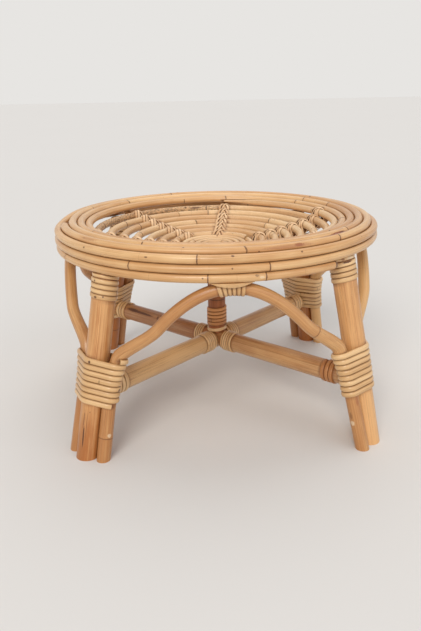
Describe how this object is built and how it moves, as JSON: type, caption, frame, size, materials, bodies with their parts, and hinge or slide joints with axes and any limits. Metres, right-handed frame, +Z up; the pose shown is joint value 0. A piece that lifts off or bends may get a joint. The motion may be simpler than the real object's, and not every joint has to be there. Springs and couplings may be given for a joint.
{
  "type": "mudda stool",
  "caption": "Low round cane stool: a coiled dished seat on a lashed frame of splayed legs, bent arches and crossed stretchers",
  "frame": {"origin": "on the floor, under the middle of the seat", "axes": "+Z up, front is -Y, +X to the right of someone who looks at the front; azimuths run counterclockwise from +X seen from above"},
  "size_m": [0.3998, 0.3998, 0.243],
  "materials": {
    "pale_cane": "peeled cane with a light varnish, pale golden, satin gloss",
    "tan_cane": "thick cane with its skin on, orange-tan with fine lengthwise grain, satin",
    "dark_pole": "old cane pole, reddish brown, dull",
    "binding_skin": "split cane skin, straw-coloured, smooth and glossy"
  },
  "bodies": {
    "root": {"outer_rim_cane": "pale_cane", "rim_filler_cane": "pale_cane", "outer_crest_hoop": "pale_cane", "middle_crest_hoop": "pale_cane", "inner_crest_hoop": "pale_cane", "outer_dish_cane": "pale_cane", "middle_dish_cane": "pale_cane", "inner_dish_cane": "pale_cane", "centre_coil": "pale_cane", "front_arch_saddle": "pale_cane", "right_arch_saddle": "pale_cane", "back_arch_saddle": "pale_cane", "left_arch_saddle": "pale_cane", "seat_rib_1": "tan_cane", "seat_rib_2": "tan_cane", "seat_rib_3": "tan_cane", "seat_rib_4": "tan_cane", "seat_rib_5": "tan_cane", "seat_rib_6": "tan_cane", "front_left_leg_pole": "tan_cane", "front_right_leg_pole": "tan_cane", "back_right_leg_pole": "tan_cane", "back_left_leg_pole": "tan_cane", "front_arch_cane": "tan_cane", "right_arch_cane": "tan_cane", "back_arch_cane": "tan_cane", "left_arch_cane": "tan_cane", "front_left_to_back_right_stretcher": "tan_cane", "front_right_to_back_left_stretcher": "tan_cane", "centre_post": "dark_pole", "front_left_leg_lashing": "binding_skin", "front_left_leg_top_wrap": "binding_skin", "front_left_stretcher_end_wrap": "binding_skin", "front_left_crossing_wrap": "binding_skin", "front_right_leg_lashing": "binding_skin", "front_right_leg_top_wrap": "binding_skin", "front_right_stretcher_end_wrap": "binding_skin", "front_right_crossing_wrap": "binding_skin", "back_right_leg_lashing": "binding_skin", "back_right_leg_top_wrap": "binding_skin", "back_right_stretcher_end_wrap": "binding_skin", "back_right_crossing_wrap": "binding_skin", "back_left_leg_lashing": "binding_skin", "back_left_leg_top_wrap": "binding_skin", "back_left_stretcher_end_wrap": "binding_skin", "back_left_crossing_wrap": "binding_skin", "centre_post_wrap": "binding_skin", "front_arch_apex_wrap": "binding_skin", "right_arch_apex_wrap": "binding_skin", "back_arch_apex_wrap": "binding_skin", "left_arch_apex_wrap": "binding_skin"}
  },
  "joints": []
}
